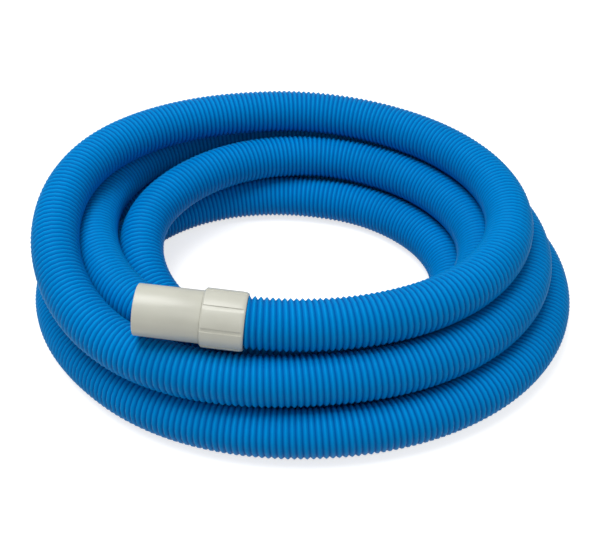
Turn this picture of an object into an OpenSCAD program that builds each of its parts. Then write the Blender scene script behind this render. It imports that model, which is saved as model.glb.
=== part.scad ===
// Pool vacuum hose: a ribbed hose lying in a 3-2-1 coil, with a swivel cuff on the
// upper end and a fixed cuff on the lower end. Millimetres, +Z up.
// The origin is the middle of the coil on the floor.

/* [Hose] */
// Bore of the hose, the size it is sold by
hose_bore = 38.1; // [32:0.1:40]
// Wall of the hose under the valleys between the ribs
hose_wall = 1.35; // [1:0.05:2]
// Height of a rib above the valley beside it
rib_depth = 2.6; // [1.5:0.1:3.2]
// Ribs along the whole hose
rib_count = 180; // [120:1:186]
// Air left between strands that lie side by side
strand_gap = 1.4; // [1.2:0.1:3]

/* [Coil] */
// Radius of the middle line of the pile
coil_r = 190; // [180:1:215]
// How far the coil is longer across than deep, added and taken at the radius
oval = 7; // [0:0.5:10]
// Three-sided unevenness of the coil, even part
egg_even = 1.2; // [0:0.1:2]
// Three-sided unevenness of the coil, odd part
egg_odd = -3.2; // [-4:0.1:0]
// Shift of the coil that puts its box in the middle, across
centre_x = 4; // [0:0.1:8]
// Shift of the coil that puts its box in the middle, deep
centre_y = -12.5; // [-14:0.1:0]
// Running angle of the first crossing, in degrees: 540 is the left side
first_crossing = 540; // [510:1:570]
// Turn of the hose from the swivel cuff to the first crossing, in degrees
lead_turn = 285.3; // [283:0.1:288]
// Turn of the hose from the first crossing to the fixed cuff, in degrees
rest_turn = 1705; // [1685:1:1710]
// How far the underside is pressed flat on the floor
settle = 0.5; // [0.2:0.1:0.8]
// How far the last strand swings out before the fixed cuff
tail_swing = 10; // [8:0.5:14]

/* [Crossings] */
// How high the swivel cuff rests above its strand's place
cuff_lift = 7; // [6:0.5:9]
// How far the swivel cuff leans out from its strand's place
cuff_lean = 8; // [6:0.5:11]
// Middle of each strand's shift to its next place, degrees past its crossing
shift_at = [50, 27, 15, -25, -20]; // [-60:1:100]
// Length of each shift in degrees
shift_span = [110, 170, 85, 120, 120]; // [60:1:200]
// Middle of each drop to the next layer, degrees past its crossing
drop_at = [15, 0, 5, 0, 0]; // [-60:1:100]
// Length of each drop in degrees
drop_span = [95, 120, 170, 90, 90]; // [60:1:200]
// How far each strand draws in before it crosses, in strand spacings
tuck = [0, 0, 0.14, 0, 0]; // [0:0.01:0.2]
// Middle of each tuck, degrees past its crossing
tuck_at = [-60, -60, -60, -60, -60]; // [-80:1:-40]
// Length of each tuck in degrees
tuck_span = [100, 100, 100, 100, 100]; // [60:1:120]
// How far each strand swings out where it crosses, in strand spacings
swing = [1, 0.41, 0.04, 0.56, 0.66]; // [0:0.01:1.2]
// Middle of each swing, degrees past its crossing
swing_at = [10, -43, -10, -30, -30]; // [-60:1:60]
// Length of each swing in degrees
swing_span = [180, 130, 80, 150, 150]; // [60:1:200]
// How far each strand still lies out after it has crossed, in strand spacings
rest_out = [0.08, 0, -0.08, -0.07, 0]; // [-0.1:0.01:0.1]
// How far it still lies up, in layers
rest_up = [0.09, 0, 0, 0, 0]; // [0:0.01:0.15]
// Middle of this rest, degrees past its crossing
rest_at = [70, 60, 60, 65, 60]; // [40:1:90]
// Length of this rest in degrees
rest_span = [110, 80, 80, 80, 80]; // [60:1:130]
// Height of each strand's arch over the strands below, in layers
arch = [0.35, 0.17, 0.25, 0, 0]; // [0:0.01:0.5]
// Middle of each arch, degrees past its crossing
arch_at = [-20, 0, -30, 0, 0]; // [-60:1:60]
// Length of each arch in degrees
arch_span = [220, 300, 180, 90, 90]; // [60:1:320]

/* [Cuffs] */
// Length of the grip collar that screws onto the hose
collar_len = 37; // [36:0.5:45]
// Wall of the collar outside the hose
collar_wall = 2.4; // [2.2:0.1:3]
// Depth to which the hose enters the collar
hose_seat = 26; // [20:0.5:27]
// Length of the whole cuff from the hose side to the mouth
cuff_len = 93.5; // [90:0.5:110]
// How far the sleeve is set in below the hose's outside, at the radius
sleeve_inset = 0.3; // [0.2:0.05:0.5]
// How much the sleeve narrows towards its mouth, at the radius
sleeve_taper = 0.45; // [0.2:0.05:0.6]
// Rounding of the mouth's outer edge
mouth_round = 0.9; // [0.5:0.1:1.2]
// Chamfer inside the mouth
lead_in = 1.2; // [0.8:0.1:1.4]
// How much wider the socket is than a spigot of the hose's bore size
socket_fit = 0.3; // [0.1:0.05:0.8]
// Depth of that socket
socket_len = 45; // [40:0.5:50]
// Height of the ledge that stops the spigot in the socket
ledge = 1.2; // [0.8:0.1:2]
// Number of grip grooves round the collar
groove_count = 8; // [6:1:12]
// Width of a grip groove
groove_w = 3.4; // [2:0.1:4]
// Depth of a grip groove
groove_depth = 0.7; // [0.4:0.1:0.9]
// Turn of the grip grooves about the cuff, in degrees
groove_turn = -6.2; // [-22:0.1:22]
// Plain rim of the collar on the hose side
rim_len = 4.5; // [3:0.5:8]
// Chamfer on the collar's two ends
collar_chamfer = 1.6; // [1:0.1:1.8]

/* [Swivel] */
// Thickness of the wall that stops the hose in the collar
web_t = 2; // [1.5:0.1:2.5]
// Thickness of the slip washer
washer_t = 1; // [0.8:0.1:1.4]
// Length of the snap ridge on the sleeve's tail
ridge_len = 2; // [1.5:0.1:2.5]
// Height of the snap ridge above the neck
ridge_h = 1.4; // [1:0.1:1.5]
// How far the neck is set in below the sleeve
neck_step = 0.8; // [0.6:0.1:1.2]
// Thickness of the O-ring's cord
oring_t = 1.6; // [1.4:0.1:1.8]

/* [Fits] */
// Clearance round the hose in its seat
seat_gap = 0.1; // [0.05:0.01:0.2]
// Running clearance of the swivel at the radius
run_gap = 0.08; // [0.05:0.01:0.1]
// End play of the swivel at each face
end_play = 0.2; // [0.1:0.05:0.3]
// Clearance over and under the O-ring in its groove
oring_gap = 0.05; // [0.03:0.01:0.1]
// Clearance on each side of the O-ring in its groove
oring_side = 0.2; // [0.1:0.05:0.3]
// How far the slip washer stays inside the collar's chamber, at the radius
washer_play = 0.4; // [0.2:0.1:0.6]

/* [Hidden] */

HOSE_BLUE = "#0a74c4";
CUFF_IVORY = "#d9d8cc";
SEAL_BLACK = "#2a2a2c";
WASHER_WHITE = "#f0f0ea";
ROUND = 96;               // facets of a turned part on screen
SMALL_ROUND = 32;         // facets of a small round section on screen

bore_r = hose_bore / 2;
valley_r = bore_r + hose_wall;
hose_r = valley_r + rib_depth;
hose_od = 2 * hose_r;
pitch = hose_od + strand_gap;        // strand to strand in a layer
layer = pitch * sin(60);             // layer to layer, each strand in the hollow below
floor_z = hose_r - settle;           // middle of a strand that lies on the floor

// Places of the strands in the pile's section, in strands out and layers up, in the
// order in which the hose takes them from the swivel cuff to the fixed cuff.
turn_slot = [[0, 2], [0.5, 1], [-0.5, 1], [-1, 0], [0, 0], [1, 0]];
crossings = len(shift_at);
full_turn = 360;
lift_span = 70;           // degrees over which the first strand comes down from the cuff
start_angle = first_crossing - lead_turn;
end_angle = first_crossing + rest_turn;
tail_span = 60;           // degrees over which the last strand swings out
rise_span = 40;           // degrees over which it rises to the cuff's height
rise_play = 0.1;          // air under the fixed cuff
ring_sides = 8;
flat_down = full_turn / 2 / ring_sides;      // turns a flat of the ring to the floor
press_fade = 3;           // a strand this far off the floor is no longer pressed flat
press_band = hose_od / 10;           // height of the underside that is pressed flat
edge_steps = 4;           // points round a moulded edge, less one

collar_r = hose_r + seat_gap + collar_wall;
seat_r = hose_r + seat_gap;
sleeve_r = hose_r - sleeve_inset;
mouth_r = sleeve_r - sleeve_taper;
socket_r = bore_r + socket_fit / 2;
waterway_r = socket_r - ledge;
neck_r = sleeve_r - neck_step;
lip_r = neck_r + run_gap;
ridge_r = neck_r + ridge_h;
chamber_r = ridge_r + run_gap;
tail_rise = collar_r + rise_play - floor_z;

web_end = hose_seat + web_t;
tail_start = web_end + washer_t + end_play;
ridge_end = tail_start + ridge_len;
lip_start = ridge_end + end_play;
sleeve_start = collar_len + end_play;
groove_len = oring_t + 2 * oring_side;
oring_at = (lip_start + collar_len) / 2;
oring_mid_r = lip_r - oring_gap - oring_t / 2;
groove_r = oring_mid_r - oring_t / 2 - oring_gap;
washer_r = chamber_r - washer_play;
shoulder_r = collar_r - collar_chamfer;

// ---- route of the hose's middle line ------------------------------------------

// Rises smoothly from 0 to 1 while t goes from 0 to 1.
function ramp(t) = let (u = min(1, max(0, t))) u * u * u * (u * (6 * u - 15) + 10);

// Falls from 1 to 0 while t goes from 0 to 1, steeply at first.
function slope(t) = pow(1 - min(1, max(0, t)), 3);

function sum(list) = list * [for (item = list) 1];

// Rises from 0 to 1 and falls back while t goes from 0 to 1.
function hump(t) = let (u = min(1, max(0, t))) pow(sin(180 * u), 2);

// How far x has gone through a stretch of the given length round its middle.
function part_of(x, middle, span) = (x - middle) / span + 0.5;

// Strands out from the pile's middle at the running angle a.
function strands_out(a) = turn_slot[0][0]
    + sum([for (i = [0:crossings - 1]) let (past = a - first_crossing - full_turn * i)
        (turn_slot[i + 1][0] - turn_slot[i][0])
            * ramp(part_of(past, shift_at[i], shift_span[i]))
        - tuck[i] * hump(part_of(past, tuck_at[i], tuck_span[i]))
        + swing[i] * hump(part_of(past, swing_at[i], swing_span[i]))
        + rest_out[i] * hump(part_of(past, rest_at[i], rest_span[i]))]);

// Layers up from the floor's layer at the running angle a.
function layers_up(a) = turn_slot[0][1]
    + sum([for (i = [0:crossings - 1]) let (past = a - first_crossing - full_turn * i)
        (turn_slot[i + 1][1] - turn_slot[i][1])
            * ramp(part_of(past, drop_at[i], drop_span[i]))
        + arch[i] * hump(part_of(past, arch_at[i], arch_span[i]))
        + rest_up[i] * hump(part_of(past, rest_at[i], rest_span[i]))]);

// Distance of the middle line from the coil's axis at the running angle a.
function radius_at(a) =
    coil_r + oval * cos(2 * a) + egg_even * cos(3 * a) + egg_odd * sin(3 * a)
    + pitch * strands_out(a)
    + cuff_lean * slope((a - start_angle) / lift_span)
    + tail_swing * ramp((a - end_angle) / tail_span + 1);

// Height of the middle line at the running angle a.
function height_at(a) =
    floor_z + layer * layers_up(a)
    + cuff_lift * slope((a - start_angle) / lift_span)
    + tail_rise * ramp((a - end_angle) / rise_span + 1);

function arc_at(a) = let (r = radius_at(a))
    [centre_x + r * cos(a), centre_y + r * sin(a), height_at(a)];

function unit(v) = v / norm(v);

tiny = 0.01;              // step in degrees for directions on the route
near_exit = arc_at(start_angle);
far_exit = arc_at(end_angle);
near_step = near_exit - arc_at(start_angle + tiny);
far_step = far_exit - arc_at(end_angle - tiny);
near_way = unit(near_step);            // this cuff rests with its mouth on a strand
far_way = unit([far_step.x, far_step.y, 0]);
near_rate = norm(near_step) / tiny;  // millimetres of route in a degree
far_rate = norm(far_step) / tiny;

// The middle line itself: straight in each cuff, and from the cuff's rim on in the coil.
function route(a) =
    a < start_angle ? near_exit + near_way * (start_angle - a) * near_rate
    : a > end_angle ? far_exit + far_way * (a - end_angle) * far_rate
    : arc_at(a);

first_angle = start_angle - hose_seat / near_rate;
last_angle = end_angle + hose_seat / far_rate;
function angle_of(step, steps) = first_angle + (last_angle - first_angle) * step / steps;

// ---- hose ----------------------------------------------------------------------

// Lays the underside of a strand flat where it lies on the floor.
function pressed(p, lift) =
    p.z < press_band ? [p.x, p.y, p.z * min(1, max(0, lift) / press_fade)] : p;

// One ring of points square to the route.
function ring(a, r) =
    let (
        p = route(a),
        way = unit(route(a + tiny) - route(a - tiny)),
        side = unit(cross([0, 0, 1], way)),
        up = cross(way, side)
    )
    [for (i = [0:ring_sides - 1]) let (t = full_turn * i / ring_sides + flat_down)
        pressed(p + r * cos(t) * side + r * sin(t) * up, p.z - floor_z)];

// Two triangles for each flat between the ring at first and the ring at second.
function band(first, second) = [for (i = [0:ring_sides - 1]) let (j = (i + 1) % ring_sides)
    each [[first + i, second + j, first + j], [first + i, second + i, second + j]]];

module hose() {
    outer_steps = 2 * rib_count;
    outer = [for (k = [0:outer_steps])
        each ring(angle_of(k, outer_steps), k % 2 == 0 ? hose_r : valley_r)];
    inner = [for (k = [0:rib_count]) each ring(angle_of(k, rib_count), bore_r)];
    bore_at = len(outer);
    outer_last = outer_steps * ring_sides;
    bore_last = bore_at + rib_count * ring_sides;
    faces = concat(
        [for (k = [0:outer_steps - 1]) each band(k * ring_sides, (k + 1) * ring_sides)],
        [for (k = [0:rib_count - 1])
            each band(bore_at + (k + 1) * ring_sides, bore_at + k * ring_sides)],
        band(bore_at, 0),
        band(outer_last, bore_last)
    );
    color(HOSE_BLUE)
        polyhedron(points = concat(outer, inner), faces = faces);
}

// ---- cuffs ---------------------------------------------------------------------

// Puts a part that is drawn along +Z, hose side at 0, at a cuff's place.
module at_cuff(exit, way) {
    translate(exit)
        rotate([0, 90 - asin(way.z), atan2(way.y, way.x)])
            children();
}

module turned(profile) {
    rotate_extrude($fn = ROUND)
        polygon(profile);
}

// Cuts the grip grooves from the rim to past the shoulder.
module grip_grooves() {
    for (i = [0:groove_count - 1])
        rotate([0, 0, full_turn * (i + 0.5) / groove_count + groove_turn])
            translate([collar_r - groove_depth, -groove_w / 2, rim_len])
                cube([2 * groove_depth, groove_w, collar_len]);
}

// Quarter of an ellipse from start to end: along Y first when upright is set, along X
// first when it isn't.
function quarter(start, end, upright) = [for (i = [0:edge_steps])
    let (t = 90 * i / edge_steps, turn = upright ? [1 - cos(t), sin(t)] : [sin(t), 1 - cos(t)])
    [start.x + (end.x - start.x) * turn.x, start.y + (end.y - start.y) * turn.y]];

// Outside of the collar, from the hose side to the shoulder.
function collar_outline() = concat(
    quarter([shoulder_r, 0], [collar_r, rim_len], false),
    [
        [collar_r, collar_len - collar_chamfer],
        [shoulder_r, collar_len]
    ]
);

// Outside and socket of a sleeve, from beside the shoulder to the mouth and back
// to the waterway.
function sleeve_outline(start) = concat(
    [[sleeve_r, start]],
    quarter([mouth_r, cuff_len - mouth_round], [mouth_r - mouth_round, cuff_len], true),
    [
        [socket_r + lead_in, cuff_len],
        [socket_r, cuff_len - lead_in],
        [socket_r, cuff_len - socket_len],
        [waterway_r, cuff_len - socket_len - ledge]
    ]
);

module swivel_collar() {
    color(CUFF_IVORY)
        at_cuff(near_exit, near_way)
            difference() {
                turned(concat(collar_outline(), [
                    [lip_r, collar_len],
                    [lip_r, lip_start],
                    [chamber_r, lip_start],
                    [chamber_r, web_end],
                    [bore_r, web_end],
                    [bore_r, hose_seat],
                    [seat_r, hose_seat],
                    [seat_r, 0]
                ]));
                grip_grooves();
            }
}

module slip_washer() {
    color(WASHER_WHITE)
        at_cuff(near_exit, near_way)
            turned([
                [bore_r, web_end],
                [washer_r, web_end],
                [washer_r, web_end + washer_t],
                [bore_r, web_end + washer_t]
            ]);
}

module oring() {
    color(SEAL_BLACK)
        at_cuff(near_exit, near_way)
            translate([0, 0, oring_at])
                rotate_extrude($fn = ROUND)
                    translate([oring_mid_r, 0])
                        circle(d = oring_t, $fn = SMALL_ROUND);
}

module swivel_sleeve() {
    color(CUFF_IVORY)
        at_cuff(near_exit, near_way)
            turned(concat(
                [
                    [waterway_r, tail_start],
                    [ridge_r - ridge_len / 2, tail_start],
                    [ridge_r, tail_start + ridge_len / 2],
                    [ridge_r, ridge_end],
                    [neck_r, ridge_end],
                    [neck_r, oring_at - groove_len / 2],
                    [groove_r, oring_at - groove_len / 2],
                    [groove_r, oring_at + groove_len / 2],
                    [neck_r, oring_at + groove_len / 2],
                    [neck_r, sleeve_start]
                ],
                sleeve_outline(sleeve_start)
            ));
}

module end_cuff() {
    color(CUFF_IVORY)
        at_cuff(far_exit, far_way)
            difference() {
                turned(concat(
                    collar_outline(),
                    sleeve_outline(collar_len),
                    [
                        [waterway_r, hose_seat],
                        [seat_r, hose_seat],
                        [seat_r, 0]
                    ]
                ));
                grip_grooves();
            }
}

// ---- measures ------------------------------------------------------------------

measure_steps = 700;
skipped = 3 * hose_od;    // stretch of a strand that lies near itself because it is one bend
measured = [for (k = [0:measure_steps]) route(angle_of(k, measure_steps))];
hose_len = sum([for (k = [1:measure_steps]) norm(measured[k] - measured[k - 1])]);
apart = ceil(measure_steps * skipped / hose_len);
least_gap = min([for (i = [0:measure_steps - apart])
    min([for (j = [i + apart:measure_steps]) norm(measured[i] - measured[j])])]) - hose_od;
echo(hose_length = hose_len, least_gap = least_gap);
echo(near_exit = near_exit, near_way = near_way, far_exit = far_exit, far_way = far_way);

hose();
swivel_collar();
slip_washer();
oring();
swivel_sleeve();
end_cuff();
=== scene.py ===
"""Pool vacuum hose: a ribbed hose lying in a 3-2-1 coil, with a swivel cuff on its upper
end and a fixed cuff on its lower end. Metres, +Z up."""

import math

import bpy
import numpy as np
from mathutils import Matrix, Vector


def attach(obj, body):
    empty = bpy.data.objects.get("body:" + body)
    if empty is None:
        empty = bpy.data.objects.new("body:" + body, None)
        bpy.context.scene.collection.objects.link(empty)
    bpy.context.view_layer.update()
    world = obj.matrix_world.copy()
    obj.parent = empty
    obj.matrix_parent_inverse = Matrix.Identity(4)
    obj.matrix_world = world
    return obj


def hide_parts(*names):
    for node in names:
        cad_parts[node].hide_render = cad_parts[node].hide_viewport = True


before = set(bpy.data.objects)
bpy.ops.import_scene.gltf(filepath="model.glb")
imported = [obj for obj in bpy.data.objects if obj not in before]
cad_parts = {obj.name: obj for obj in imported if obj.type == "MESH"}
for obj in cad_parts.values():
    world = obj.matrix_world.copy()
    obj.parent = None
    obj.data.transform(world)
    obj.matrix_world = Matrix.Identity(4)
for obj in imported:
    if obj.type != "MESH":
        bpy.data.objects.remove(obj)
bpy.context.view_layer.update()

bl_info = {
    "name": "Pool vacuum hose",
    "version": (1, 0, 0),
    "blender": (4, 5, 0),
    "location": "View3D > Sidebar > Pool hose",
    "description": "Models a coiled pool vacuum hose with its swivel cuff and fixed cuff",
    "category": "Add Mesh",
}

MM = 0.001


def linear(hex_colour):
    """Linear RGBA of an sRGB hex colour."""
    channels = [int(hex_colour[i:i + 2], 16) / 255 for i in (1, 3, 5)]
    return (*[c / 12.92 if c <= 0.04045 else ((c + 0.055) / 1.055) ** 2.4 for c in channels], 1.0)


# ---- sizes of the route and of the cuffs' insides, as in the part's source ----------

STRAND = 47.4 * MM                 # strand to strand in a layer
LAYER = STRAND * math.sin(math.radians(60))
FLOOR_Z = 22.5 * MM                # middle of a strand that lies on the floor
COIL_R = 190 * MM
OVAL = 7 * MM
EGG_EVEN = 1.2 * MM
EGG_ODD = -3.2 * MM
CENTRE = (4 * MM, -12.5 * MM)
FIRST_CROSSING = 540.0             # running angle of the first crossing, in degrees
LEAD_TURN = 285.3                  # degrees from the swivel cuff to the first crossing
REST_TURN = 1705.0                 # degrees from there to the fixed cuff
START_ANGLE = FIRST_CROSSING - LEAD_TURN
END_ANGLE = FIRST_CROSSING + REST_TURN
TAIL_SWING = 10 * MM               # how far the last strand swings out before the fixed cuff
TAIL_RISE = 3.1 * MM               # and how far it rises to that cuff's height
TAIL_SPAN = 60.0                   # degrees over which it swings out
RISE_SPAN = 40.0                   # degrees over which it rises
HOSE_SEAT = 26 * MM                # depth of the hose in each cuff
FULL_TURN = 360
TINY = 0.01                        # step in degrees for directions on the route
TABLE_STEPS = 40000                # steps in which the route's length is measured

# Places of the strands in the pile's section, in strands out and layers up, in the order
# in which the hose takes them from the swivel cuff to the fixed cuff.
TURN_SLOT = [(0, 2), (0.5, 1), (-0.5, 1), (-1, 0), (0, 0), (1, 0)]
# At each crossing the hose shifts to its next place and drops to its layer. Each has a
# middle in degrees past the crossing, and a length in degrees.
SHIFTS = [(50, 110), (27, 170), (15, 85), (-25, 120), (-20, 120)]
DROPS = [(15, 95), (0, 120), (5, 170), (0, 90), (0, 90)]
# Meanwhile it tucks in, swings out, arches over the strands below and rests on them: the
# middle and length of each such hump, then how far it goes, in strands out and layers up.
HUMPS = [
    [(10, 180, 1, 0), (70, 110, 0.08, 0.09), (-20, 220, 0, 0.35)],
    [(-43, 130, 0.41, 0), (0, 300, 0, 0.17)],
    [(-60, 100, -0.14, 0), (-10, 80, 0.04, 0), (60, 80, -0.08, 0), (-30, 180, 0, 0.25)],
    [(-30, 150, 0.56, 0), (65, 80, -0.07, 0)],
    [(-30, 150, 0.66, 0)],
]
CUFF_LIFT = 7 * MM                 # how high the swivel cuff rests above its strand's place
CUFF_LEAN = 8 * MM                 # and how far it leans out from it
LIFT_SPAN = 70.0                   # degrees over which the first strand comes down

# Places in a cuff are measured from its hose side towards its mouth.
COLLAR_LEN = 37 * MM
COLLAR_R = 25.5 * MM
SHOULDER_R = 23.9 * MM
CHAMFER = COLLAR_R - SHOULDER_R
RIM_LEN = 4.5 * MM                 # length of the rounded rim on the hose side
SEAT_R = 23.1 * MM                 # of the hole that holds the hose
BORE_R = 19.05 * MM                # of the hose, and of the hole in the collar's web
WEB_END = 28 * MM                  # the web stops the hose, and the chamber starts behind it
TAIL_START = 29.2 * MM             # end of the sleeve's tail
RIDGE_CHAMFER = 1 * MM             # on that end, so that the tail snaps in
RIDGE_END = 31.2 * MM
LIP_START = 31.4 * MM              # the collar's lip holds the ridge
SLEEVE_START = 37.2 * MM           # the sleeve's shoulder, in front of the collar
OGROOVE = (33.2 * MM, 35.2 * MM)   # start and end of the O-ring's groove
OGROOVE_R = 20.28 * MM
CHAMBER_R = 23.38 * MM
RIDGE_R = 23.3 * MM
LIP_R = 21.98 * MM
NECK_R = 21.9 * MM
SLEEVE_R = 22.7 * MM
MOUTH_R = 22.25 * MM
MOUTH_ROUND = 0.9 * MM
CUFF_LEN = 93.5 * MM
LEAD_IN = 1.2 * MM                 # chamfer inside the mouth
SOCKET_R = 19.2 * MM
SOCKET_LEN = 45 * MM
WATERWAY_R = 18 * MM
GROOVES = 8                        # grip grooves round a collar
HALF_GROOVE = math.pi / GROOVES    # half the turn from one groove to the next
GROOVE_START = 1.6 * MM
ROUND = 96                         # sides of a turned piece
QUARTER_STEPS = 4                  # steps round a quarter of an edge
BEVEL_FROM = math.radians(35)      # sharper edges than this are rounded
SMOOTH_TO = math.radians(40)       # and blunter ones than this are shaded smooth


# ---- what a user would change --------------------------------------------------------

class PoolHoseTube(bpy.types.PropertyGroup):
    outside: bpy.props.FloatProperty(
        name="Outside", description="Diameter of the hose over its ribs",
        default=46 * MM, min=40 * MM, max=46.5 * MM, unit="LENGTH")
    rib_spacing: bpy.props.FloatProperty(
        name="Rib spacing", description="Distance from one rib to the next along the hose",
        default=5.3 * MM, min=5.2 * MM, max=12 * MM, unit="LENGTH")
    rib_depth: bpy.props.FloatProperty(
        name="Rib depth", description="Depth of the valley between two ribs",
        default=2.1 * MM, min=0.5 * MM, max=2.3 * MM, unit="LENGTH")
    rib_flank: bpy.props.FloatProperty(
        name="Rib flank", description="Depth of a rib's flanks, as a part of the rib's depth",
        default=0.42, min=0.2, max=0.6)
    blue: bpy.props.FloatVectorProperty(
        name="Blue", description="Colour of the hose", subtype="COLOR", size=4, min=0, max=1,
        default=linear("#0089d2"))


class PoolHoseCuffs(bpy.types.PropertyGroup):
    groove_width: bpy.props.FloatProperty(
        name="Groove width", description="Width of a grip groove in the collar",
        default=3.4 * MM, min=1 * MM, max=4 * MM, unit="LENGTH")
    groove_depth: bpy.props.FloatProperty(
        name="Groove depth", description="Depth of a grip groove in the collar",
        default=0.7 * MM, min=0.2 * MM, max=0.9 * MM, unit="LENGTH")
    groove_turn: bpy.props.FloatProperty(
        name="Groove turn", description="Turn of the grip grooves about the cuff",
        default=math.radians(-6.2), unit="ROTATION")
    edge_round: bpy.props.FloatProperty(
        name="Edge rounding", description="Rounding of the moulded edges",
        default=0.3 * MM, min=0.05 * MM, max=0.5 * MM, unit="LENGTH")
    ivory: bpy.props.FloatVectorProperty(
        name="Ivory", description="Colour of the cuffs", subtype="COLOR", size=4, min=0, max=1,
        default=linear("#c4c4b8"))


class PoolHoseStage(bpy.types.PropertyGroup):
    elevation: bpy.props.FloatProperty(
        name="Camera elevation", description="Angle of the camera above the floor",
        default=math.radians(38.8), unit="ROTATION")
    distance: bpy.props.FloatProperty(
        name="Camera distance", description="From the camera to the middle of the coil's foot",
        default=1037.1 * MM, min=0.3, unit="LENGTH")
    lens: bpy.props.FloatProperty(
        name="Focal length", description="Focal length of the lens on a 36 mm sensor",
        default=58.7, min=10, subtype="DISTANCE_CAMERA")
    floor: bpy.props.FloatVectorProperty(
        name="Floor", description="Colour of the floor", subtype="COLOR", size=4, min=0, max=1,
        default=linear("#c8c8c7"))


# ---- route of the hose's middle line ---------------------------------------------------

def ramp(t):
    """Rises smoothly from 0 to 1 while t goes from 0 to 1."""
    u = np.clip(t, 0, 1)
    return u ** 3 * (u * (6 * u - 15) + 10)


def slope(t):
    """Falls from 1 to 0 while t goes from 0 to 1, steeply at first."""
    return (1 - np.clip(t, 0, 1)) ** 3


def hump(t):
    """Rises from 0 to 1 and falls back while t goes from 0 to 1."""
    return np.sin(np.pi * np.clip(t, 0, 1)) ** 2


def place_in_pile(a):
    """Strands out and layers up in the pile's section at the running angles a."""
    out, up = (np.full_like(a, start) for start in TURN_SLOT[0])
    for i, humps in enumerate(HUMPS):
        past = a - FIRST_CROSSING - FULL_TURN * i
        (out_now, up_now), (out_next, up_next) = TURN_SLOT[i:i + 2]
        out = out + (out_next - out_now) * ramp((past - SHIFTS[i][0]) / SHIFTS[i][1] + 0.5)
        up = up + (up_next - up_now) * ramp((past - DROPS[i][0]) / DROPS[i][1] + 0.5)
        for middle, span, strands, layers in humps:
            share = hump((past - middle) / span + 0.5)
            out = out + strands * share
            up = up + layers * share
    return out, up


def arc_at(a):
    """Points of the coil at the running angles a, in degrees."""
    turn = np.radians(a)
    out, up = place_in_pile(a)
    near_part = slope((a - START_ANGLE) / LIFT_SPAN)
    r = (COIL_R + OVAL * np.cos(2 * turn) + EGG_EVEN * np.cos(3 * turn)
         + EGG_ODD * np.sin(3 * turn) + STRAND * out + CUFF_LEAN * near_part
         + TAIL_SWING * ramp((a - END_ANGLE) / TAIL_SPAN + 1))
    z = (FLOOR_Z + LAYER * up + CUFF_LIFT * near_part
         + TAIL_RISE * ramp((a - END_ANGLE) / RISE_SPAN + 1))
    return np.stack([CENTRE[0] + r * np.cos(turn), CENTRE[1] + r * np.sin(turn), z], axis=-1)


def way_out(angle, step, slant):
    """End of the coil at the angle, the direction out of it, and metres per degree. The
    step leads out of the coil. With a slant of 0 the cuff lies level, and with 1 it follows
    the strand's slope."""
    end = arc_at(np.float64(angle))
    move = end - arc_at(np.float64(angle - step))
    way = move * np.array([1.0, 1.0, slant])
    return end, way / np.linalg.norm(way), np.linalg.norm(move) / TINY


NEAR_EXIT, NEAR_WAY, NEAR_RATE = way_out(START_ANGLE, -TINY, 1.0)
FAR_EXIT, FAR_WAY, FAR_RATE = way_out(END_ANGLE, TINY, 0.0)
FIRST_ANGLE = START_ANGLE - HOSE_SEAT / NEAR_RATE
LAST_ANGLE = END_ANGLE + HOSE_SEAT / FAR_RATE


def route(a):
    """The middle line: straight in each cuff, and from the cuff's rim on in the coil."""
    a = np.asarray(a, dtype=np.float64)
    near_line = NEAR_EXIT + NEAR_WAY * ((START_ANGLE - a) * NEAR_RATE)[..., None]
    far_line = FAR_EXIT + FAR_WAY * ((a - END_ANGLE) * FAR_RATE)[..., None]
    way = np.where((a < START_ANGLE)[..., None], near_line, arc_at(a))
    return np.where((a > END_ANGLE)[..., None], far_line, way)


# Running angles and points along the route, with the length of hose up to each of them.
TABLE_ANGLES = np.linspace(FIRST_ANGLE, LAST_ANGLE, TABLE_STEPS + 1)
TABLE_POINTS = route(TABLE_ANGLES)
TABLE_LENGTHS = np.concatenate(
    [[0.0], np.cumsum(np.linalg.norm(np.diff(TABLE_POINTS, axis=0), axis=1))])
HOSE_LENGTH = float(TABLE_LENGTHS[-1])


def unit(v):
    """The vectors v, each at a length of 1."""
    return v / np.linalg.norm(v, axis=-1, keepdims=True)


def ring_frames(lengths):
    """Middles, side directions and upward directions of the hose at lengths along it."""
    angles = np.interp(lengths, TABLE_LENGTHS, TABLE_ANGLES)
    way = unit(route(angles + TINY) - route(angles - TINY))
    side = unit(np.cross(np.array([0.0, 0.0, 1.0]), way))
    return route(angles), side, np.cross(way, side)


# ---- materials -------------------------------------------------------------------------

MIX_A = 6                          # inputs A and B of a Mix node that is set to colours
MIX_B = 7
MIX_RESULT = 2                     # and its output
NOISE_LOW = 0.3                    # nearly all of a noise lies between these
NOISE_HIGH = 0.7
VALLEY_SHADE_SHARE = (0.5, 0.36, 0.54)   # painted shade: parts of the hose's red, green and blue left in its valleys
GLOSS_BLUE = "#59daff"             # the hose's highlights take on some of its own colour
FLOOR_GLOW = 0.7                   # light that the floor adds of its own
AIR_LIGHT = 0.4                    # even light on the object, beside the white that is seen


def add_node(tree, kind, settings=None, inputs=None):
    """Adds a node with its settings, its inputs' values and its links: an input is a value,
    or a pair of a node and the name of its output."""
    node = tree.nodes.new(kind)
    for name, value in (settings or {}).items():
        setattr(node, name, value)
    for name, value in (inputs or {}).items():
        socket = node.inputs[name]
        if isinstance(value, tuple) and isinstance(value[0], bpy.types.Node):
            tree.links.new(value[0].outputs[value[1]], socket)
        else:
            socket.default_value = value
    return node


def new_material(name):
    """An empty node material and its tree."""
    material = bpy.data.materials.new(name)
    material.use_nodes = True
    material.node_tree.nodes.clear()
    return material, material.node_tree


def shade(colour, factor):
    """The same colour, lighter or darker."""
    return (*[min(1.0, c * factor) for c in colour[:3]], 1.0)


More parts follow.
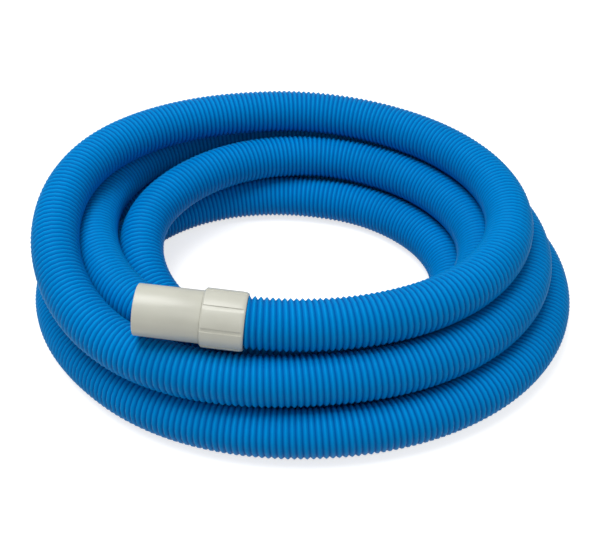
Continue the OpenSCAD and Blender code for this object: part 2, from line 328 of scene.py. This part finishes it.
def spiral_wound_eva(blue):
    """Ethylene vinyl acetate, wound as a hot strip and fused rib to rib. It is a soft plastic
    with a satin face: broad highlights along the ribs' crowns, and a duller face in the
    valleys, whose deeper blue is painted shade."""
    material, tree = new_material("spiral_wound_eva")
    valley = add_node(tree, "ShaderNodeAttribute", {"attribute_name": "valley"})
    place = add_node(tree, "ShaderNodeTexCoord")
    # Pigment and cooling differ along the strip: clouds about 60 mm across.
    clouds = add_node(tree, "ShaderNodeTexNoise", {"noise_dimensions": "3D"},
                      {"Vector": (place, "Object"), "Scale": 1 / (60 * MM), "Detail": 2.0,
                       "Roughness": 0.5})
    # Flow marks of the extruded strip, a few millimetres long.
    flow = add_node(tree, "ShaderNodeTexNoise", {"noise_dimensions": "3D"},
                    {"Vector": (place, "Object"), "Scale": 1 / (6 * MM), "Detail": 3.0,
                     "Roughness": 0.6})
    cloud_tint = add_node(tree, "ShaderNodeMapRange", {},
                          {"Value": (clouds, "Fac"), "From Min": NOISE_LOW, "From Max": NOISE_HIGH,
                           "To Min": 0.0, "To Max": 1.0})
    crown = add_node(tree, "ShaderNodeMix", {"data_type": "RGBA"},
                     {"Factor": (cloud_tint, "Result"), MIX_A: shade(blue, 0.95),
                      MIX_B: shade(blue, 1.05)})
    # Painted shade: the blue darkens towards the valleys, and halfway in the bore.
    valley_shade_blue = (*[c * share for c, share in zip(blue, VALLEY_SHADE_SHARE)], 1.0)
    depth = add_node(tree, "ShaderNodeMath", {"operation": "POWER"},
                     {0: (valley, "Fac"), 1: 1.3})
    colour = add_node(tree, "ShaderNodeMix", {"data_type": "RGBA"},
                      {"Factor": (depth, "Value"), MIX_A: (crown, MIX_RESULT),
                       MIX_B: valley_shade_blue})
    gloss = add_node(tree, "ShaderNodeMapRange", {},
                     {"Value": (flow, "Fac"), "From Min": NOISE_LOW, "From Max": NOISE_HIGH,
                      "To Min": 0.36, "To Max": 0.46})
    roughness = add_node(tree, "ShaderNodeMath", {"operation": "MULTIPLY_ADD"},
                         {0: (depth, "Value"), 1: 0.16, 2: (gloss, "Result")})
    bump = add_node(tree, "ShaderNodeBump", {},
                    {"Height": (flow, "Fac"), "Strength": 0.25, "Distance": 0.05 * MM})
    shader = add_node(tree, "ShaderNodeBsdfPrincipled", {},
                      {"Base Color": (colour, MIX_RESULT), "Roughness": (roughness, "Value"),
                       "IOR": 1.48, "Specular IOR Level": 0.1,
                       "Specular Tint": linear(GLOSS_BLUE), "Normal": (bump, "Normal")})
    add_node(tree, "ShaderNodeOutputMaterial", {}, {"Surface": (shader, "BSDF")})
    return material


def moulded_abs(ivory):
    """Acrylonitrile butadiene styrene, injection moulded in a polished tool: an opaque ivory
    with an even satin gloss, faint flow clouds and slightly uneven, orange-peel skin."""
    material, tree = new_material("moulded_abs")
    place = add_node(tree, "ShaderNodeTexCoord")
    # Flow clouds about 22 mm across.
    clouds = add_node(tree, "ShaderNodeTexNoise", {"noise_dimensions": "3D"},
                      {"Vector": (place, "Object"), "Scale": 1 / (22 * MM), "Detail": 2.0,
                       "Roughness": 0.5})
    # Skin of the moulding, about 0.8 mm from one swelling to the next.
    skin = add_node(tree, "ShaderNodeTexNoise", {"noise_dimensions": "3D"},
                    {"Vector": (place, "Object"), "Scale": 1 / (0.8 * MM), "Detail": 2.0,
                     "Roughness": 0.5})
    tint = add_node(tree, "ShaderNodeMapRange", {},
                    {"Value": (clouds, "Fac"), "From Min": NOISE_LOW, "From Max": NOISE_HIGH,
                     "To Min": 0.0, "To Max": 1.0})
    colour = add_node(tree, "ShaderNodeMix", {"data_type": "RGBA"},
                      {"Factor": (tint, "Result"), MIX_A: shade(ivory, 0.965),
                       MIX_B: shade(ivory, 1.02)})
    roughness = add_node(tree, "ShaderNodeMapRange", {},
                         {"Value": (clouds, "Fac"), "From Min": NOISE_LOW, "From Max": NOISE_HIGH,
                          "To Min": 0.32, "To Max": 0.4})
    bump = add_node(tree, "ShaderNodeBump", {},
                    {"Height": (skin, "Fac"), "Strength": 0.2, "Distance": 0.02 * MM})
    shader = add_node(tree, "ShaderNodeBsdfPrincipled", {},
                      {"Base Color": (colour, MIX_RESULT), "Roughness": (roughness, "Result"),
                       "IOR": 1.54, "Normal": (bump, "Normal")})
    add_node(tree, "ShaderNodeOutputMaterial", {}, {"Surface": (shader, "BSDF")})
    return material


def turned_acetal():
    """Polyoxymethylene, turned on a lathe: a cool, slightly waxy white with a fine grain left
    by the tool and a dull sheen."""
    material, tree = new_material("turned_acetal")
    place = add_node(tree, "ShaderNodeTexCoord")
    # Tool marks, drawn about 0.6 mm apart, because real ones are too fine to show.
    grain = add_node(tree, "ShaderNodeTexNoise", {"noise_dimensions": "3D"},
                     {"Vector": (place, "Object"), "Scale": 1 / (0.6 * MM), "Detail": 2.0})
    tint = add_node(tree, "ShaderNodeMix", {"data_type": "RGBA"},
                    {"Factor": (grain, "Fac"), MIX_A: linear("#e9e9e4"), MIX_B: linear("#f4f4ef")})
    roughness = add_node(tree, "ShaderNodeMapRange", {},
                         {"Value": (grain, "Fac"), "From Min": NOISE_LOW, "From Max": NOISE_HIGH,
                          "To Min": 0.4, "To Max": 0.52})
    bump = add_node(tree, "ShaderNodeBump", {},
                    {"Height": (grain, "Fac"), "Strength": 0.3, "Distance": 0.02 * MM})
    shader = add_node(tree, "ShaderNodeBsdfPrincipled", {},
                      {"Base Color": (tint, MIX_RESULT), "Roughness": (roughness, "Result"),
                       "IOR": 1.48, "Normal": (bump, "Normal")})
    add_node(tree, "ShaderNodeOutputMaterial", {}, {"Surface": (shader, "BSDF")})
    return material


def greased_nitrile():
    """Nitrile rubber, pressed in a mould and wiped with silicone grease: nearly black, with
    a patchy sheen where the grease lies."""
    material, tree = new_material("greased_nitrile")
    place = add_node(tree, "ShaderNodeTexCoord")
    # Patches of grease, about 4 mm across.
    grease = add_node(tree, "ShaderNodeTexNoise", {"noise_dimensions": "3D"},
                      {"Vector": (place, "Object"), "Scale": 1 / (4 * MM), "Detail": 3.0})
    tint = add_node(tree, "ShaderNodeMix", {"data_type": "RGBA"},
                    {"Factor": (grease, "Fac"), MIX_A: linear("#232325"), MIX_B: linear("#303033")})
    roughness = add_node(tree, "ShaderNodeMapRange", {},
                         {"Value": (grease, "Fac"), "From Min": 0.35, "From Max": 0.65,
                          "To Min": 0.22, "To Max": 0.6})
    bump = add_node(tree, "ShaderNodeBump", {},
                    {"Height": (grease, "Fac"), "Strength": 0.2, "Distance": 0.02 * MM})
    shader = add_node(tree, "ShaderNodeBsdfPrincipled", {},
                      {"Base Color": (tint, MIX_RESULT), "Roughness": (roughness, "Result"),
                       "IOR": 1.52, "Normal": (bump, "Normal")})
    add_node(tree, "ShaderNodeOutputMaterial", {}, {"Surface": (shader, "BSDF")})
    return material


def white_floor(colour):
    """Matt white studio floor. The rays that a viewer or a gloss sees get some light of its
    own added, so that it reads as white while the hose's soft shadow stays on it."""
    material, tree = new_material("white_floor")
    rays = add_node(tree, "ShaderNodeLightPath")
    seen = add_node(tree, "ShaderNodeMath", {"operation": "MAXIMUM"},
                    {0: (rays, "Is Camera Ray"), 1: (rays, "Is Glossy Ray")})
    seen = add_node(tree, "ShaderNodeMath", {"operation": "MAXIMUM"},
                    {0: (seen, "Value"), 1: (rays, "Is Transmission Ray")})
    own_light = add_node(tree, "ShaderNodeMath", {"operation": "MULTIPLY"},
                         {0: (seen, "Value"), 1: FLOOR_GLOW})
    matt = add_node(tree, "ShaderNodeBsdfDiffuse", {}, {"Color": colour})
    glow = add_node(tree, "ShaderNodeEmission", {}, {"Strength": (own_light, "Value")})
    both = add_node(tree, "ShaderNodeAddShader", {}, {0: (matt, "BSDF"), 1: (glow, "Emission")})
    add_node(tree, "ShaderNodeOutputMaterial", {}, {"Surface": (both, "Shader")})
    return material


# ---- ribbed hose -----------------------------------------------------------------------

COLUMNS = 18                       # corners of the hose's section
RIB_ROWS = [0.0, 0.26, 0.5, 0.74]  # valley, flank, crown and flank, in rib spacings
PULLED = 0.6                       # the ribs that the collar pulled on stand out further,
PULL_LEN = 30 * MM                 # by this part of their depth, and fading over this length
BORE_RINGS = 230                   # lengths into which the bore is divided
BORE_SHADE = 0.5                   # painted shade and roughness of the bore, from 0 for a crown to 1 for a valley
SEAM_TURN = -90                    # the seam of the section lies underneath, in degrees


def wind_hose(settings):
    """Mesh of the hose: one rib wound round the route, with the bore inside it."""
    radius = settings.outside / 2
    spacing = settings.rib_spacing
    row_depth = np.array([1.0, settings.rib_flank, 0.0, settings.rib_flank])
    rows_in_rib = len(RIB_ROWS)
    ribs = int(math.ceil(HOSE_LENGTH / spacing))
    rows = np.arange(-rows_in_rib, (ribs + 1) * rows_in_rib)
    kind = rows % rows_in_rib
    columns = np.arange(COLUMNS)
    along = ((rows // rows_in_rib)[:, None] + np.array(RIB_ROWS)[kind][:, None]
             + columns[None, :] / COLUMNS) * spacing
    turn = np.radians(FULL_TURN * columns / COLUMNS + SEAM_TURN)

    # Rows before the start and past the end fall together into the two end rings.
    corner = np.full(along.shape, -1)
    inside = (along > 0) & (along < HOSE_LENGTH)
    count = int(inside.sum())
    corner[inside] = np.arange(count)
    corner = np.where(along <= 0, count + columns[None, :], corner)
    corner = np.where(along >= HOSE_LENGTH, count + COLUMNS + columns[None, :], corner)

    row_of, column_of = np.nonzero(inside)
    end_length = np.repeat([0.0, HOSE_LENGTH], COLUMNS)
    lengths = np.concatenate([along[inside], end_length])
    round_at = np.concatenate([turn[column_of], turn, turn])
    valley = np.concatenate([row_depth[kind[row_of]], np.ones(2 * COLUMNS)])
    pulled = PULLED * np.exp(-np.maximum(lengths - HOSE_SEAT, 0) / PULL_LEN)
    reach = radius - settings.rib_depth * valley * (1 + pulled)

    ring_lengths = np.repeat(np.linspace(0, HOSE_LENGTH, BORE_RINGS + 1), COLUMNS)
    bore_at = len(lengths)
    lengths = np.concatenate([lengths, ring_lengths])
    round_at = np.concatenate([round_at, np.tile(turn, BORE_RINGS + 1)])
    reach = np.concatenate([reach, np.full(len(ring_lengths), BORE_R)])
    valley = np.concatenate([valley, np.full(len(ring_lengths), BORE_SHADE)])

    middle, side, up = ring_frames(lengths)
    points = (middle + side * (reach * np.cos(round_at))[:, None]
              + up * (reach * np.sin(round_at))[:, None])
    points[:, 2] = np.maximum(points[:, 2], 0)      # the underside lies flat on the floor

    faces = []
    next_column = np.roll(columns, -1)
    last_row = len(rows) - rows_in_rib - 1
    for row in range(last_row):
        here, above = corner[row], corner[row + 1]
        over = np.roll(here, -1)
        over_above = np.roll(above, -1)
        over[-1] = corner[row + rows_in_rib][0]     # the last column meets the next rib
        over_above[-1] = corner[row + 1 + rows_in_rib][0]
        for quad in np.stack([here, over, over_above, above], axis=-1).tolist():
            face = [v for i, v in enumerate(quad) if v not in quad[:i]]
            if len(face) > 2:
                faces.append(face)
    start_ring = count + columns
    end_ring = start_ring + COLUMNS
    first_bore = bore_at + columns
    last_bore = bore_at + BORE_RINGS * COLUMNS + columns
    for j, k in zip(columns, next_column):
        faces.append([start_ring[j], first_bore[j], first_bore[k], start_ring[k]])
        faces.append([end_ring[j], end_ring[k], last_bore[k], last_bore[j]])
        for i in range(BORE_RINGS):
            a, b = bore_at + i * COLUMNS, bore_at + (i + 1) * COLUMNS
            faces.append([a + j, b + j, b + k, a + k])

    mesh = bpy.data.meshes.new("ribbed_hose")
    mesh.from_pydata(points.tolist(), [], [[int(v) for v in face] for face in faces])
    mesh.shade_smooth()
    # The valley value is 1 in a valley, 0 on a crown and BORE_SHADE in the bore; the material reads
    # it for painted shade and for roughness.
    mesh.attributes.new("valley", "FLOAT", "POINT").data.foreach_set("value", valley)
    mesh.update()
    if mesh.validate():
        raise RuntimeError("the hose's mesh has faulty faces")
    return mesh


# ---- cuffs -------------------------------------------------------------------------------

def quarter(start, end, upright):
    """Quarter of an ellipse from start to end. It sets off straight along the piece where it
    is upright, and straight away from the axis where it isn't."""
    points = []
    for i in range(QUARTER_STEPS + 1):
        t = math.pi / 2 * i / QUARTER_STEPS
        turn = (1 - math.cos(t), math.sin(t)) if upright else (math.sin(t), 1 - math.cos(t))
        points.append(tuple(start[k] + (end[k] - start[k]) * turn[k] for k in (0, 1)))
    return points


def collar_outline():
    """Outside of the collar from the hose side to the shoulder, as radius and place."""
    return quarter((SHOULDER_R, 0), (COLLAR_R, RIM_LEN), False) + [
        (COLLAR_R, COLLAR_LEN - CHAMFER), (SHOULDER_R, COLLAR_LEN)]


def sleeve_outline(start):
    """Outside of the sleeve, round the mouth and through the socket to the waterway."""
    return [(SLEEVE_R, start)] + quarter(
        (MOUTH_R, CUFF_LEN - MOUTH_ROUND), (MOUTH_R - MOUTH_ROUND, CUFF_LEN), True) + [
        (SOCKET_R + LEAD_IN, CUFF_LEN), (SOCKET_R, CUFF_LEN - LEAD_IN),
        (SOCKET_R, CUFF_LEN - SOCKET_LEN),
        (WATERWAY_R, CUFF_LEN - SOCKET_LEN - (SOCKET_R - WATERWAY_R))]


def turn_piece(name, outline):
    """Turns a closed outline of radius and place into a ring, by extruding a circle."""
    bpy.ops.object.select_all(action="DESELECT")
    radius, place = outline[0]
    bpy.ops.mesh.primitive_circle_add(
        vertices=ROUND, radius=radius, fill_type="NOTHING", location=(0, 0, 0),
        rotation=(0, 0, math.pi / ROUND))
    piece = bpy.context.object
    piece.name = piece.data.name = name
    bpy.ops.object.mode_set(mode="EDIT")
    bpy.ops.mesh.select_all(action="SELECT")
    bpy.ops.transform.translate(value=(0, 0, place))
    for (r0, z0), (r1, z1) in zip(outline, outline[1:]):
        bpy.ops.mesh.extrude_region_move(TRANSFORM_OT_translate={"value": (0, 0, z1 - z0)})
        bpy.ops.transform.resize(value=(r1 / r0, r1 / r0, 1), center_override=(0, 0, z1))
    bpy.ops.mesh.select_all(action="DESELECT")
    bpy.ops.mesh.select_non_manifold()
    bpy.ops.mesh.bridge_edge_loops()
    bpy.ops.mesh.select_all(action="SELECT")
    bpy.ops.mesh.normals_make_consistent(inside=False)
    bpy.ops.object.mode_set(mode="OBJECT")
    bpy.ops.object.transform_apply(location=True, rotation=True, scale=True)
    return piece


def cut_grip_grooves(piece, settings):
    """Cuts the grip grooves from the collar's rim through its shoulder."""
    bpy.ops.object.select_all(action="DESELECT")
    bpy.ops.mesh.primitive_cube_add(
        size=1, location=(COLLAR_R, 0, GROOVE_START + COLLAR_LEN / 2),
        scale=(2 * settings.groove_depth, settings.groove_width, COLLAR_LEN))
    cutter = bpy.context.object
    bpy.ops.object.transform_apply(location=True, rotation=True, scale=True)
    bpy.ops.object.mode_set(mode="EDIT")
    bpy.ops.mesh.select_all(action="SELECT")
    bpy.ops.mesh.spin(steps=GROOVES - 1, dupli=True, angle=math.tau * (GROOVES - 1) / GROOVES,
                      center=(0, 0, 0), axis=(0, 0, 1))
    bpy.ops.mesh.select_all(action="SELECT")
    bpy.ops.mesh.normals_make_consistent(inside=False)
    bpy.ops.object.mode_set(mode="OBJECT")
    bpy.ops.object.select_all(action="DESELECT")
    piece.select_set(True)
    bpy.context.view_layer.objects.active = piece
    cut = piece.modifiers.new("grip_grooves", "BOOLEAN")
    cut.operation = "DIFFERENCE"
    cut.solver = "EXACT"
    cut.object = cutter
    bpy.ops.object.modifier_apply(modifier=cut.name)
    bpy.data.objects.remove(cutter)


def finish_moulding(piece, settings, exit_point, way, turn):
    """Rounds the moulded edges, smooths the turned faces and puts the piece in its place."""
    bpy.ops.object.select_all(action="DESELECT")
    piece.select_set(True)
    bpy.context.view_layer.objects.active = piece
    edges = piece.modifiers.new("moulded_edges", "BEVEL")
    edges.width = settings.edge_round
    edges.segments = 2
    edges.limit_method = "ANGLE"
    edges.angle_limit = BEVEL_FROM
    edges.use_clamp_overlap = True
    bpy.ops.object.modifier_apply(modifier=edges.name)
    bpy.ops.object.shade_smooth_by_angle(angle=SMOOTH_TO)
    piece.matrix_world = (
        Matrix.Translation(Vector(exit_point))
        @ Matrix.Rotation(math.atan2(way[1], way[0]), 4, "Z")
        @ Matrix.Rotation(math.pi / 2 - math.asin(way[2]), 4, "Y")
        @ Matrix.Rotation(turn, 4, "Z"))
    bpy.ops.object.transform_apply(location=True, rotation=True, scale=True)


def dress(piece, material, body, node):
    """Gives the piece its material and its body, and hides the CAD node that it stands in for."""
    piece.data.materials.clear()
    piece.data.materials.append(material)
    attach(piece, body)
    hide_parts(node)


def shared_material(name, make, *values):
    """The material of that name, made the first time it is asked for."""
    return bpy.data.materials.get(name) or make(*values)


# ---- operators -----------------------------------------------------------------------------

class PoolHoseAddTube(bpy.types.Operator):
    """Winds the ribbed hose along its route through the coil"""
    bl_idname = "pool_hose.add_tube"
    bl_label = "Ribbed hose"
    bl_options = {"REGISTER", "UNDO"}

    def execute(self, context):
        settings = context.scene.pool_hose_tube
        hose = bpy.data.objects.new("ribbed_hose", wind_hose(settings))
        context.scene.collection.objects.link(hose)
        dress(hose, shared_material("spiral_wound_eva", spiral_wound_eva, tuple(settings.blue)),
              "coil", "hose")
        return {"FINISHED"}


class PoolHoseAddCollar(bpy.types.Operator):
    """Turns the swivel cuff's collar and cuts its grip grooves"""
    bl_idname = "pool_hose.add_collar"
    bl_label = "Swivel collar"
    bl_options = {"REGISTER", "UNDO"}

    def execute(self, context):
        settings = context.scene.pool_hose_cuffs
        collar = turn_piece("grip_collar", collar_outline() + [
            (LIP_R, COLLAR_LEN), (LIP_R, LIP_START), (CHAMBER_R, LIP_START),
            (CHAMBER_R, WEB_END), (BORE_R, WEB_END), (BORE_R, HOSE_SEAT),
            (SEAT_R, HOSE_SEAT), (SEAT_R, 0)])
        cut_grip_grooves(collar, settings)
        finish_moulding(collar, settings, NEAR_EXIT, NEAR_WAY,
                        HALF_GROOVE + settings.groove_turn)
        dress(collar, shared_material("moulded_abs", moulded_abs, tuple(settings.ivory)),
              "coil", "swivel_collar")
        return {"FINISHED"}


class PoolHoseAddSleeve(bpy.types.Operator):
    """Turns the sleeve that swivels in the collar"""
    bl_idname = "pool_hose.add_sleeve"
    bl_label = "Swivel sleeve"
    bl_options = {"REGISTER", "UNDO"}

    def execute(self, context):
        settings = context.scene.pool_hose_cuffs
        sleeve = turn_piece("swivel_tube", [
            (WATERWAY_R, TAIL_START), (RIDGE_R - RIDGE_CHAMFER, TAIL_START),
            (RIDGE_R, TAIL_START + RIDGE_CHAMFER), (RIDGE_R, RIDGE_END), (NECK_R, RIDGE_END),
            (NECK_R, OGROOVE[0]), (OGROOVE_R, OGROOVE[0]), (OGROOVE_R, OGROOVE[1]),
            (NECK_R, OGROOVE[1]), (NECK_R, SLEEVE_START)] + sleeve_outline(SLEEVE_START))
        finish_moulding(sleeve, settings, NEAR_EXIT, NEAR_WAY, 0)
        dress(sleeve, shared_material("moulded_abs", moulded_abs, tuple(settings.ivory)),
              "swivel", "swivel_sleeve")
        return {"FINISHED"}


class PoolHoseFinishSeals(bpy.types.Operator):
    """Gives the slip washer and the O-ring inside the swivel their materials"""
    bl_idname = "pool_hose.finish_seals"
    bl_label = "Washer and O-ring"
    bl_options = {"REGISTER", "UNDO"}

    def execute(self, context):
        for node, material in (("slip_washer", turned_acetal()), ("oring", greased_nitrile())):
            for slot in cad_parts[node].material_slots:
                slot.material = material
        return {"FINISHED"}


class PoolHoseAddEndCuff(bpy.types.Operator):
    """Turns the fixed cuff and cuts its grip grooves"""
    bl_idname = "pool_hose.add_end_cuff"
    bl_label = "Fixed cuff"
    bl_options = {"REGISTER", "UNDO"}

    def execute(self, context):
        settings = context.scene.pool_hose_cuffs
        cuff = turn_piece("fixed_cuff", collar_outline() + sleeve_outline(COLLAR_LEN) + [
            (WATERWAY_R, HOSE_SEAT), (SEAT_R, HOSE_SEAT), (SEAT_R, 0)])
        cut_grip_grooves(cuff, settings)
        finish_moulding(cuff, settings, FAR_EXIT, FAR_WAY, HALF_GROOVE + settings.groove_turn)
        dress(cuff, shared_material("moulded_abs", moulded_abs, tuple(settings.ivory)),
              "coil", "end_cuff")
        return {"FINISHED"}


FLOOR_SIZE = 8                     # metres
LAMPS = [                          # name, place, side and power in watts
    ("key", (-0.45, -0.15, 2.15), 1.3, 36),
    ("fill", (0.3, -1.7, 1.5), 1.2, 5),
]
LAMP_AIM = (0, 0, 0.05)
SENSOR = 36                        # width in millimetres, for the lens
CAMERA_SHIFT = (-0.0101, 0.0228)   # of the picture, in parts of its width
CLIP_START = 0.02


def add_lamp(name, place, side, power):
    """Adds a soft square lamp that is aimed at the pile."""
    data = bpy.data.lights.new(name, "AREA")
    data.shape = "RECTANGLE"
    data.size = side
    data.size_y = side
    data.energy = power
    lamp = bpy.data.objects.new(name, data)
    lamp.location = place
    lamp.rotation_euler = (Vector(LAMP_AIM) - Vector(place)).to_track_quat("-Z", "Y").to_euler()
    bpy.context.scene.collection.objects.link(lamp)


class PoolHoseAddStage(bpy.types.Operator):
    """Adds the floor, the soft lamps and the camera"""
    bl_idname = "pool_hose.add_stage"
    bl_label = "Stage"
    bl_options = {"REGISTER", "UNDO"}

    def execute(self, context):
        settings = context.scene.pool_hose_stage
        scene = context.scene
        scene.view_settings.view_transform = "Standard"

        bpy.ops.object.select_all(action="DESELECT")
        bpy.ops.mesh.primitive_plane_add(size=FLOOR_SIZE, location=(0, 0, 0))
        floor = context.object
        floor.name = floor.data.name = "studio_floor"
        floor.data.materials.append(white_floor(tuple(settings.floor)))

        world = bpy.data.worlds.new("studio_air")
        scene.world = world
        world.use_nodes = True
        tree = world.node_tree
        tree.nodes.clear()
        rays = add_node(tree, "ShaderNodeLightPath")
        seen = add_node(tree, "ShaderNodeMath", {"operation": "MAXIMUM"},
                        {0: (rays, "Is Camera Ray"), 1: (rays, "Is Transmission Ray")})
        # The viewer sees plain white, and the object gets a weaker, even light.
        strength = add_node(tree, "ShaderNodeMapRange", {},
                            {"Value": (seen, "Value"), "To Min": AIR_LIGHT, "To Max": 1.0})
        air = add_node(tree, "ShaderNodeBackground", {},
                       {"Color": (1, 1, 1, 1), "Strength": (strength, "Result")})
        add_node(tree, "ShaderNodeOutputWorld", {}, {"Surface": (air, "Background")})

        for lamp in LAMPS:
            add_lamp(*lamp)

        data = bpy.data.cameras.new("camera")
        data.lens = settings.lens
        data.sensor_width = SENSOR
        data.shift_x, data.shift_y = CAMERA_SHIFT
        data.clip_start = CLIP_START
        camera = bpy.data.objects.new("camera", data)
        aim = Vector((CENTRE[0], CENTRE[1], 0))
        camera.location = aim + settings.distance * Vector(
            (0, -math.cos(settings.elevation), math.sin(settings.elevation)))
        camera.rotation_euler = (math.pi / 2 - settings.elevation, 0, 0)
        scene.collection.objects.link(camera)
        scene.camera = camera
        return {"FINISHED"}


class PoolHosePanel(bpy.types.Panel):
    """Sizes, colours and steps of the pool vacuum hose"""
    bl_idname = "VIEW3D_PT_pool_hose"
    bl_label = "Pool vacuum hose"
    bl_space_type = "VIEW_3D"
    bl_region_type = "UI"
    bl_category = "Pool hose"

    def draw(self, context):
        scene = context.scene
        for settings in (scene.pool_hose_stage, scene.pool_hose_tube, scene.pool_hose_cuffs):
            box = self.layout.box()
            for name in settings.__annotations__:
                box.prop(settings, name)
        column = self.layout.column(align=True)
        for operator in OPERATORS:
            column.operator(operator.bl_idname)


OPERATORS = (PoolHoseAddStage, PoolHoseAddCollar, PoolHoseAddSleeve, PoolHoseFinishSeals,
             PoolHoseAddEndCuff, PoolHoseAddTube)
CLASSES = (PoolHoseTube, PoolHoseCuffs, PoolHoseStage, *OPERATORS, PoolHosePanel)


def register():
    for cls in CLASSES:
        bpy.utils.register_class(cls)
    bpy.types.Scene.pool_hose_tube = bpy.props.PointerProperty(type=PoolHoseTube)
    bpy.types.Scene.pool_hose_cuffs = bpy.props.PointerProperty(type=PoolHoseCuffs)
    bpy.types.Scene.pool_hose_stage = bpy.props.PointerProperty(type=PoolHoseStage)


def unregister():
    del bpy.types.Scene.pool_hose_stage
    del bpy.types.Scene.pool_hose_cuffs
    del bpy.types.Scene.pool_hose_tube
    for cls in reversed(CLASSES):
        bpy.utils.unregister_class(cls)


def main():
    register()
    bpy.ops.pool_hose.add_stage()
    bpy.ops.pool_hose.add_collar()
    bpy.ops.pool_hose.add_sleeve()
    bpy.ops.pool_hose.finish_seals()
    bpy.ops.pool_hose.add_end_cuff()
    bpy.ops.pool_hose.add_tube()


if __name__ == "__main__":
    main()
